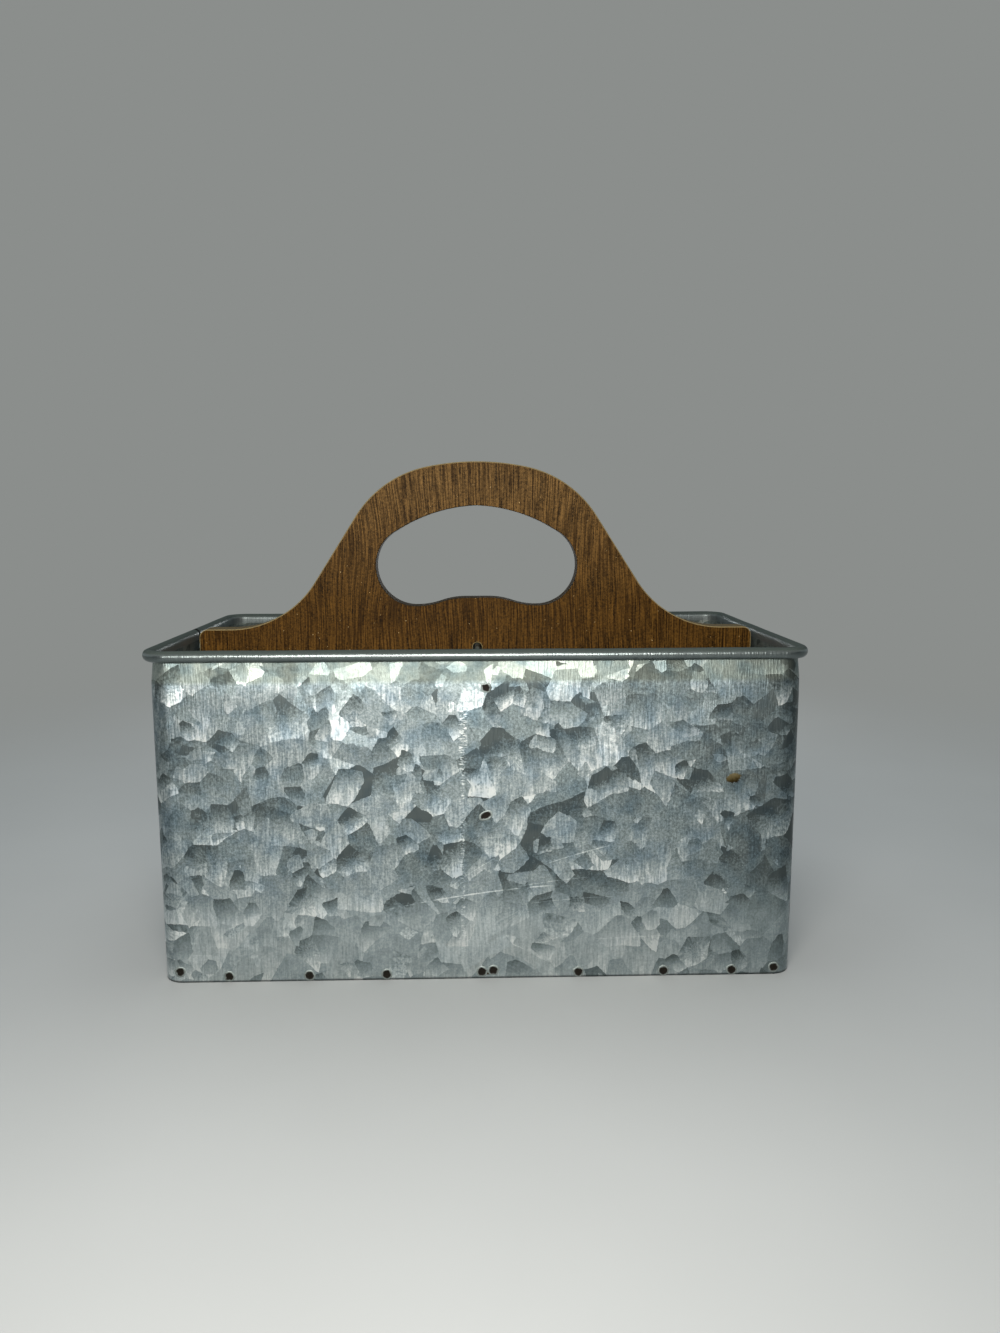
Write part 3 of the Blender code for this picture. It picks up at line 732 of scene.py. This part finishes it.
def makeCrossDivider(look, materials):
    hemRadius = look["hemWidth"] / 2
    web = -hemRadius
    hemTop = dividerHigh.z
    turnHeight = hemTop - hemRadius
    bendStart = wallDepth - 2 * sheetThickness - fitGap - look["bend"]
    bm = bmesh.new()

    def put(x, z):
        return bm.verts.new((x, 0, z))

    outer = [put(web, z) for z in (floorHeight, creaseHeight)]
    inner = [put(web + sheetThickness, z) for z in (floorHeight, creaseHeight)]
    over = arcPoints((0, turnHeight), hemRadius, math.pi, 0, look["hemSteps"])
    under = arcPoints((0, turnHeight), hemRadius - sheetThickness, 0, math.pi, look["hemSteps"])
    leg = [(-web, hemTop - look["hemLeg"]), (-web - sheetThickness, hemTop - look["hemLeg"])]
    fold = [put(*point) for point in over + leg + under]
    flange = bm.faces.new((outer[0], outer[1], inner[1], inner[0]))
    hem = bm.faces.new((outer[1], *fold, inner[1]))
    middle = [flange, hem]
    faces = pushFaces(bm, middle, (0, bendStart, 0), 8)
    lower = min(faces, key=lambda face: face.calc_center_median().z)
    centre = (web + sheetThickness + look["bend"], bendStart)
    end = turnFaces(bm, [lower], centre, -up, look["bendSteps"])
    pushFaces(bm, end, (look["flangeReach"] - centre[0], 0, 0), 2)
    bmesh.ops.delete(bm, geom=middle, context="FACES")
    bmesh.ops.mirror(bm, geom=bm.verts[:] + bm.edges[:] + bm.faces[:], axis="Y", merge_dist=0.01 * mm)
    return finishPiece("crossDivider", bm, materials, ["cross_divider"])


# Handle board

boardShape = {
    "shoulderRise": 0.5 * mm,
    "cornerRadius": 4 * mm,
    "crownRadius": 116.7 * mm,
    "crownTurn": math.radians(11.65),
    "browRadius": 52.9 * mm,
    "flankSlope": math.radians(57.2),
    "footRadius": 49 * mm,
    "holeHalf": 48.15 * mm,
    "holeTop": 203.6 * mm,
    "holePeak": 3 * mm,  # the two halves of the upper edge are centred this far past the middle
    "holeBottom": 155.8 * mm,
    "holeEndRadius": 19.1 * mm,
    "lobeRadius": 36.5 * mm,
    "plateauHeight": 159.7 * mm,
    "plateauHalf": 5.6 * mm,
    "slotWidth": 4.3 * mm,
    "slotHeadroom": 0.4 * mm,
    "arris": 0.45 * mm,
}


def boardOutline(shape):
    # Right half, from the crown down the outside to the slot and up the hand hole's edge.
    shoulder = rimHeight + shape["shoulderRise"]
    crown = (0, boardHigh.z - shape["crownRadius"])
    browReach = shape["crownRadius"] - shape["browRadius"]
    turn = shape["crownTurn"]
    slope = shape["flankSlope"]
    brow = (browReach * math.sin(turn), crown[1] + browReach * math.cos(turn))
    points = arcPoints(crown, shape["crownRadius"], up, up - turn, 8)
    points += arcPoints(brow, shape["browRadius"], up - turn, up - slope, 24)[1:]
    footRadius = shape["footRadius"]
    flankDrop = points[-1][1] - shoulder - footRadius * (1 - math.cos(slope))
    flankFoot = points[-1][0] + flankDrop / math.tan(slope)
    foot = (flankFoot + footRadius * math.sin(slope), shoulder + footRadius)
    points += arcPoints(foot, footRadius, -up - slope, -up, 28)
    radius = shape["cornerRadius"]
    corner = (boardHigh.x - radius, shoulder - radius)
    points += arcPoints(corner, radius, up, 0, 12)
    points += [(boardHigh.x, boardLow.z), (shape["slotWidth"] / 2, boardLow.z)]
    arch = (0, dividerHigh.z + shape["slotHeadroom"] - shape["slotWidth"] / 2)
    points += arcPoints(arch, shape["slotWidth"] / 2, 0, up, 10)
    return points + handHoleOutline(shape)


def handHoleOutline(shape):
    # Right half, from the flat middle of the lower edge, through the lobe and the end, to the top.
    endRadius = shape["holeEndRadius"]
    lobeRadius = shape["lobeRadius"]
    end = Vector((shape["holeHalf"] - endRadius, shape["holeBottom"] + endRadius))
    lobe = Vector((end.x, shape["holeBottom"] + lobeRadius))
    # The hollow arc beside the flat middle meets the lobe's arc smoothly.
    rise = lobe.y - shape["plateauHeight"]
    side = lobe.x - shape["plateauHalf"]
    hollow = (lobeRadius ** 2 - side ** 2 - rise ** 2) / (2 * (rise - lobeRadius))
    bend = Vector((shape["plateauHalf"], shape["plateauHeight"] - hollow))
    above = shape["holeTop"] - end.y
    peak = shape["holePeak"]
    apart = end.x + peak
    overRadius = (apart ** 2 + above ** 2 - endRadius ** 2 - peak ** 2) / (2 * (above - endRadius))
    over = Vector((-peak, shape["holeTop"] - overRadius))
    leave = math.atan2(*reversed(lobe - bend))
    meet = math.atan2(*reversed(end - over))
    points = [(0, shape["plateauHeight"])]
    points += arcPoints(bend, hollow, up, leave, 8)
    points += arcPoints(lobe, lobeRadius, leave - math.pi, -up, 16)[1:]
    points += arcPoints(end, endRadius, -up, meet, 40)[1:]
    points += arcPoints(over, overRadius, meet, math.acos(peak / overRadius), 18)[1:]
    return points


def makeHandleBoard(shape, materials):
    bm = bmesh.new()
    corners = [bm.verts.new((x, boardLow.y, z)) for x, z in boardOutline(shape)]
    face = bm.faces.new(corners)
    pushFaces(bm, [face], (0, boardHigh.y - boardLow.y, 0))
    middle = [face for face in bm.faces if all(abs(v.co.x) < shape["arris"] / 4 for v in face.verts)]
    bmesh.ops.delete(bm, geom=middle, context="FACES_ONLY")
    bmesh.ops.mirror(bm, geom=bm.verts[:] + bm.edges[:] + bm.faces[:], axis="X", merge_dist=0.01 * mm)
    bmesh.ops.recalc_face_normals(bm, faces=bm.faces)
    # The outer arris is pale, and the hand hole's is not.
    weight = bm.edges.layers.float.new("bevel_weight_edge")
    for face in bm.faces:
        if abs(face.normal.y) > 0.5:
            continue
        middle = face.calc_center_median()
        around = abs(middle.x) < shape["holeHalf"] and middle.z < shape["holeTop"]
        inHole = around and middle.z > shape["holeBottom"] - shape["arris"]
        face.material_index = 1 if inHole else 2
        for edge in face.edges:
            lengthwise = abs(edge.verts[0].co.y - edge.verts[1].co.y) < mm
            if lengthwise and not inHole and edge.calc_face_angle(0) > up / 2:
                edge[weight] = 1
    board = finishPiece("handleBoard", bm, materials, ["handle_board"], 30)
    for name, method, material in (("Pale arris", "WEIGHT", 3), ("Eased hole", "ANGLE", -1)):
        eased = board.modifiers.new(name, "BEVEL")
        eased.width = shape["arris"]
        eased.segments = 3
        eased.limit_method = method
        eased.angle_limit = math.radians(50)
        eased.material = material
        eased.harden_normals = True
    return board


# Base screws

screwLook = {
    "steps": 64,
    "rings": 18,
    "headEdge": 0.8 * mm,
    "recessReach": 1.9 * mm,  # of the cross recess, from the middle
    "recessWidth": 0.55 * mm,  # half the width of its arms
    "recessDepth": 1.0 * mm,
}


def makeBaseScrew(number, look, materials):
    node = f"base_screw_{number}"
    low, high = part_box(node)
    headRadius = (high.x - low.x) / 2
    shankRadius = 1.5 * mm
    seat = panHigh.z - sheetThickness - fitGap
    edge = (headRadius - look["headEdge"], low.z + look["headEdge"])
    flat = [(edge[0] * ring / look["rings"], low.z) for ring in range(look["rings"])]
    profile = [*flat, *arcPoints(edge, look["headEdge"], -up, 0, 6), (headRadius, seat)]
    profile += [(shankRadius, seat), (shankRadius, high.z - 3 * mm), (0, high.z)]
    bm = bmesh.new()
    for vert in lathe(bm, profile, look["steps"]):
        # The cross recess: two arms pressed into the underside of the head.
        if vert.co.z < low.z + 0.01 * mm:
            across = min(abs(vert.co.x), abs(vert.co.y))
            along = max(abs(vert.co.x), abs(vert.co.y))
            arm = 1 - smooth(across, look["recessWidth"] - 0.2 * mm, look["recessWidth"] + 0.1 * mm)
            end = 1 - smooth(along, look["recessReach"] * 0.4, look["recessReach"])
            vert.co.z += look["recessDepth"] * arm * end
    bmesh.ops.translate(bm, vec=((low.x + high.x) / 2, 0, 0), verts=bm.verts)
    return finishPiece(f"baseScrew{number}", bm, materials, [node])


# Spot welds

weldLook = {
    "radius": 2.5 * mm,
    "clear": 0.2 * mm,  # no weld reaches below this height
    "steps": 26,
    # From the middle of the pit over the lip: share of the radius, and height in mm.
    "profile": (
        (0.0, 0.01), (0.3, 0.015), (0.5, 0.03), (0.66, 0.08), (0.8, 0.16), (0.91, 0.08), (1.0, -0.03),
    ),
}
frontBottomRow = (  # x and z in mm, as they lie along the front's lower edge
    (-128.9, 5.0), (-108.1, 2.6), (-73.6, 2.5), (-40.4, 2.5), (0.8, 3.1), (5.8, 3.6),
    (42.7, 2.4), (80.0, 2.4), (109.9, 2.3), (128.4, 3.2),
)


def addWeld(bm, place, outward, seed, look, size=1.0, stretch=1.0, turn=0.0, torn=0.0, tornSide=0.0):
    # A pressed pit with a raised lip, turned from its profile and then made uneven. Where the
    # electrode stuck, the lip is torn up on one side.
    pit = bm.verts.layers.float.get("pit") or bm.verts.layers.float.new("pit")
    radius = look["radius"] * size
    profile = [(share * radius, height * mm) for share, height in look["profile"]]
    made = lathe(bm, profile, look["steps"])
    rim = [edge for edge in bm.edges if edge.is_boundary and edge.verts[0] in set(made)]
    bmesh.ops.holes_fill(bm, edges=rim, sides=0)
    facing = Vector(outward).to_track_quat("Z", "Y").to_matrix().to_4x4()
    ragged = 0.16 + 0.3 * torn
    for vert in made:
        share = vert.co.xy.length / radius
        vert[pit] = 1 - smooth(share + 0.12 * noise.noise(vert.co * 900 + Vector((seed, 0, 0))), 0.66, 0.8)
        around = vert.co.normalized() * 1.3 + Vector((seed * 3.7, seed, 0))
        side = math.cos(math.atan2(vert.co.y, vert.co.x) - tornSide)
        lip = torn * smooth(share, 0.5, 0.75) * (1 - smooth(share, 0.85, 1.0)) * smooth(side, 0.5, 0.9)
        vert[pit] *= 1 - smooth(lip, 0, 0.3)
        vert.co.x *= (1 + ragged * noise.noise(around)) * stretch
        vert.co.y *= 1 + ragged * noise.noise(around + Vector((4, 4, 4)))
        if vert.co.z > 0:
            vert.co.z *= 1 + 0.5 * noise.noise(around + Vector((9, 2, 5)))
        vert.co.z += lip * 0.45 * mm * (1 + 0.8 * noise.noise(vert.co * 2500))
    matrix = Matrix.Translation(place) @ facing @ Matrix.Rotation(turn, 4, "Z")
    bmesh.ops.transform(bm, matrix=matrix, verts=made)
    for vert in made:
        vert.co.z = max(vert.co.z, look["clear"])


def makeWelds(name, places, outward, materials):
    bm = bmesh.new()
    for index, spot in enumerate(places):
        addWeld(bm, Vector(spot[:3]), outward, index + len(name), weldLook, *spot[3:])
    return finishPiece(name, bm, materials, sharp=60)


def weldPlaces():
    # Where the electrodes met the four walls, and the divider's flanges on the front and rear. A
    # place may also have a size, a stretch, a turn, how far the lip is torn, and on which side.
    front = [(x * mm, -wallDepth, z * mm) for x, z in frontBottomRow]
    front += [(3.4 * mm, -wallDepth, 128.0 * mm, 0.78, 1.3, -0.5, 1.0, 0.6)]
    front += [(2.9 * mm, -wallDepth, 73.1 * mm, 0.9, 1.35, 0.35, 0.7, -1.6)]
    rearRow = (-0.93, -0.7, -0.45, -0.2, 0.04, 0.3, 0.56, 0.78, 0.94)
    rear = [(share * wallLength, wallDepth, 2.7 * mm) for share in rearRow]
    rear += [(4.5 * mm, wallDepth, 127.5 * mm), (5.2 * mm, wallDepth, 72 * mm)]
    right = [(wallLength, share * wallDepth, 2.8 * mm) for share in (-0.82, -0.42, 0.02, 0.4, 0.83)]
    left = [(-wallLength, share * wallDepth, 2.8 * mm) for share in (-0.83, -0.4, 0.38, 0.82)]
    left += [(-wallLength, 6.8 * mm, z * mm) for z in (11, 41, 72, 103, 125)]
    # The same welds seen on the divider's flanges, inside the tote.
    flange = wallDepth - 2 * sheetThickness - fitGap
    frontInside = [(5 * mm, -flange, z * mm, 0.8) for z in (14, 73, 124)]
    rearInside = [(5 * mm, flange, z * mm, 0.8) for z in (14, 72, 124)]
    return {
        "frontWelds": (front, (0, -1, 0)),
        "rearWelds": (rear, (0, 1, 0)),
        "rightWelds": (right, (1, 0, 0)),
        "leftWelds": (left, (-1, 0, 0)),
        "frontFlangeWelds": (frontInside, (0, 1, 0)),
        "rearFlangeWelds": (rearInside, (0, -1, 0)),
    }


# Build

wallFinish = {**spangleLook, "scuffs": frontScuffs, "stains": frontStains}
panFinish = {**spangleLook, "along": 0, "fall": (0.9, -0.5, -0.1)}
sheetMetal = makeSpangle("Hot-dip galvanized sheet", wallFinish)
panMetal = makeSpangle("Hot-dip galvanized pan sheet", panFinish)
dividerMetal = makeSpangle("Hot-dip galvanized divider sheet", spangleLook)
wireMetal = makePlainMetal("Galvanized wire", "#3d4143", "#62686a", 0.45, 2 * mm)
screwMetal = makePlainMetal("Zinc-plated screw steel", "#a9aba4", "#d0d2ca", 0.3, 1 * mm)
woodFilm = makeWoodFilm("Walnut-look film", boardLook)
boardFinishes = [woodFilm] + [
    makeCutEdge(f"Fibreboard {part}", boardLook[key])
    for part, key in (("hand hole edge", "shadedHoleEdge"), ("outer edge", "outerEdge"), ("arris", "arris"))
]
burntZinc = makeBurntZinc("Burnt zinc at a spot weld")

makeWallSheet(wallLook, [sheetMetal])
makeRimWire(wallLook, [wireMetal])
makeBasePan(panLook, [panMetal])
makeCrossDivider(dividerLook, [dividerMetal])
makeHandleBoard(boardShape, boardFinishes)
for number in range(1, 5):
    makeBaseScrew(number, screwLook, [screwMetal])
for name, (places, outward) in weldPlaces().items():
    makeWelds(name, places, outward, [burntZinc])


# Stage, light and camera

stageLook = {
    "floor": ("#9ea09f", "#a8aaa9"),
    "far": "#8b8e8c",  # the plain tone that the floor fades into, and the world behind it
    "roomFront": "#5f6466",  # the room as the metal reflects it: dim behind the camera
    "roomBack": "#b9c3c8",  # and lighter above, to the sides and behind the tote
    "roomSide": (-0.2, 1, 0.55),  # the middle of its lighter side
    "roomFade": (-0.3, 0.4),
    "fade": (0.15, 0.85),  # away from the tote's middle
    "frontFade": (-0.3, -0.42),  # and in front of the picture's lower edge, below the key light
}


def makeFloor(look):
    # Plain pale matt floor that fades into the world's tone well behind the tote.
    bm = bmesh.new()
    bmesh.ops.create_grid(bm, x_segments=1, y_segments=1, size=40)
    mesh = bpy.data.meshes.new("floor")
    bm.to_mesh(mesh)
    bm.free()
    material, add, shader, place = newMaterial("Pale floor")
    cloud = add("TexNoise", {"Vector": place, "Scale": 6.0, "Detail": 3.0})
    tone = add("Mix RGBA", {"Factor": cloud, 6: look["floor"][0], 7: look["floor"][1]})
    fillSockets(shader, {"Base Color": tone, "Roughness": 0.9, "Specular IOR Level": 0.2})
    away = add("VectorMath LENGTH", {0: place})
    fade = add("MapRange", {"Value": away, "From": look["fade"]}, interpolation_type="SMOOTHSTEP")
    depth = add("SeparateXYZ", {0: place}).outputs["Y"]
    nearer = add("MapRange", {"Value": depth, "From": look["frontFade"]}, interpolation_type="SMOOTHSTEP")
    seen = add("LightPath").outputs["Is Camera Ray"]
    nearer = add("Math MULTIPLY", {0: nearer, 1: seen})
    fade = add("Math MAXIMUM", {0: fade, 1: nearer})
    glow = add("Emission", {"Color": look["far"]})
    mixed = add("MixShader", {0: fade, 1: shader, 2: glow})
    fillSockets(shader.id_data.nodes["Material Output"], {"Surface": mixed})
    mesh.materials.append(material)
    newObject("floor", mesh)


def addAreaLight(name, place, target, wide, tall, power, tint="#ffffff"):
    light = bpy.data.lights.new(name, "AREA")
    light.shape = "ELLIPSE"
    light.size = wide
    light.size_y = tall
    light.energy = power
    light.color = colour(tint)[:3]
    item = newObject(name, light)
    item.location = place
    item.rotation_euler = (Vector(target) - Vector(place)).to_track_quat("-Z", "Y").to_euler()


def setWorld(look):
    # The room gives the metal something to reflect; the backdrop has the floor's far tone.
    world = bpy.data.worlds.new("Studio")
    bpy.context.scene.world = world
    world.use_nodes = True
    add = partial(addNode, world.node_tree)
    room = world.node_tree.nodes["Background"]
    towards = add("TexCoord").outputs["Object"]
    behind = add("VectorMath DOT_PRODUCT", {0: towards, 1: look["roomSide"]})
    behind = add("MapRange", {"Value": behind, "From": look["roomFade"]}, interpolation_type="SMOOTHSTEP")
    tone = add("Mix RGBA", {"Factor": behind, 6: look["roomFront"], 7: look["roomBack"]})
    fillSockets(room, {"Color": tone})
    backdrop = add("Background", {"Color": look["far"]})
    seen = add("LightPath").outputs["Is Camera Ray"]
    mixed = add("MixShader", {0: seen, 1: room, 2: backdrop})
    fillSockets(world.node_tree.nodes["World Output"], {"Surface": mixed})


cameraView = {  # worked out from the tote's edges in the photograph
    "place": (-2.06 * mm, -486.5 * mm, 199.5 * mm),
    "turn": math.radians(-1.553),
    "dip": math.radians(8.676),
    "roll": math.radians(-0.165),
    "lens": 27.03,
}


def addCamera(view):
    data = bpy.data.cameras.new("Camera")
    data.lens = view["lens"]
    data.sensor_width = 36
    data.clip_start = 0.01
    data.clip_end = 100
    item = newObject("Camera", data)
    aim = Matrix.Rotation(view["turn"], 4, "Z") @ Matrix.Rotation(up - view["dip"], 4, "X")
    item.matrix_world = Matrix.Translation(view["place"]) @ aim @ Matrix.Rotation(view["roll"], 4, "Z")
    bpy.context.scene.camera = item


makeFloor(stageLook)
setWorld(stageLook)
addAreaLight("Key", (-0.045, -0.52, 0.24), (0, 0, 0.08), wide=0.34, tall=0.1, power=3.4, tint="#fffaf4")
addAreaLight("Top", (0, 0.3, 1.25), (0, 0, 0.1), wide=1.2, tall=1.2, power=4.5)
addAreaLight("Rear", (0.04, 0.8, 0.12), (0, 0, 0.08), wide=0.3, tall=0.2, power=2.4)
bpy.context.scene.view_settings.view_transform = "Standard"
addCamera(cameraView)

print("scene ready")
